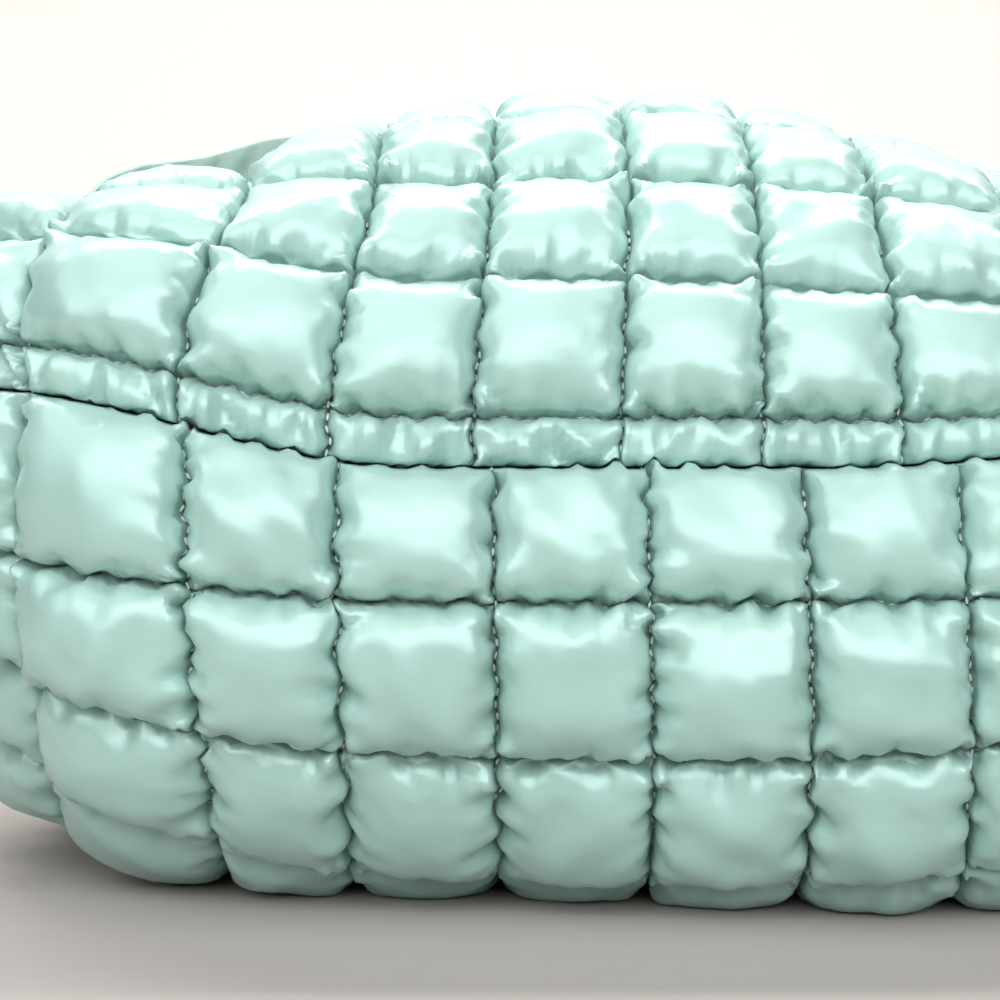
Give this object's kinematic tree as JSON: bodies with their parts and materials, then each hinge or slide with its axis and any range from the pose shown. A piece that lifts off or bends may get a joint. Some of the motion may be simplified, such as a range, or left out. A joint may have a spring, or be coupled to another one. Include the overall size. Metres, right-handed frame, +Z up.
{
  "type": "quilted hobo bag",
  "caption": "Soft hobo shoulder bag in square-quilted padded nylon, lying on its back panel with an open bound mouth and a flat padded strap.",
  "frame": {"origin": "on the floor, at a flattened puff of the back panel near the middle of the bag", "axes": "+Z up from the floor, +X along the bag, +Y from the bottom seam towards the mouth and the strap"},
  "size_m": [0.475, 0.3574, 0.2535],
  "materials": {
    "quilted_nylon": "satin",
    "binding_nylon": "satin",
    "strap_nylon": "satin"
  },
  "bodies": {
    "root": {"front_panel": "quilted_nylon", "back_panel": "quilted_nylon", "front_binding": "binding_nylon", "back_binding": "binding_nylon", "strap": "strap_nylon"}
  },
  "joints": []
}
